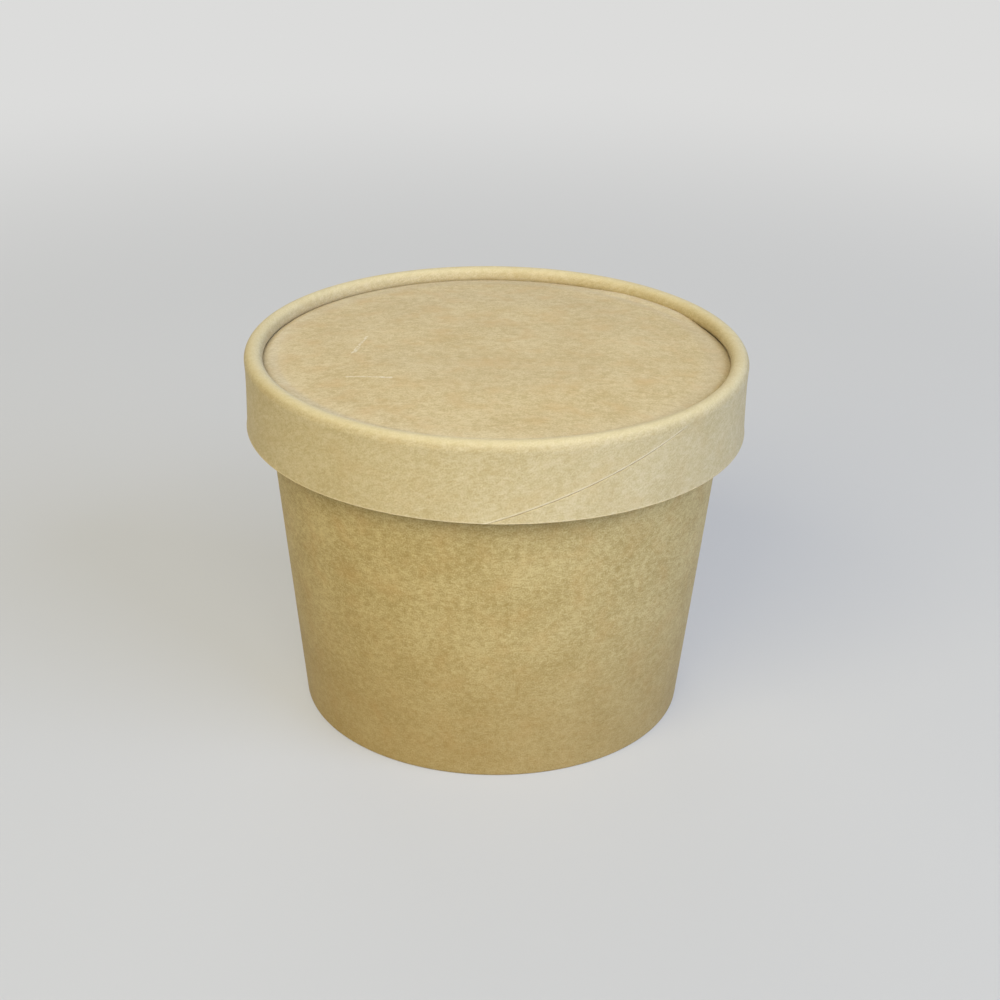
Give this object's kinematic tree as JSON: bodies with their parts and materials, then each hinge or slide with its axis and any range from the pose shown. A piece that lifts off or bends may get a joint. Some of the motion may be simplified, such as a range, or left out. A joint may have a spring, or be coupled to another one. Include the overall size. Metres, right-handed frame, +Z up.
{
  "type": "paper ice cream tub",
  "caption": "Round tapered kraft paper tub with a rolled rim and a recessed base, closed by a push-on paper lid with a beaded edge that lifts straight off.",
  "frame": {"origin": "centre of the foot, on the surface that the tub stands on", "axes": "+Z up along the tub's axis, +Y towards the side seam at the back, -Y towards the front"},
  "size_m": [0.0926, 0.0926, 0.0704],
  "materials": {
    "tub_board": "uncoated kraft board, matte",
    "band_board": "wound kraft board, matte",
    "panel_board": "pressed kraft board, matte"
  },
  "bodies": {
    "tub": {"tub_wall": "tub_board", "tub_base": "tub_board"},
    "lid": {"lid_band": "band_board", "lid_panel": "panel_board"}
  },
  "joints": [
    {"name": "lid_lift", "type": "slide", "parent": "tub", "child": "lid", "axis": [0, 0, 1], "range_m": [0, 0.045]}
  ]
}
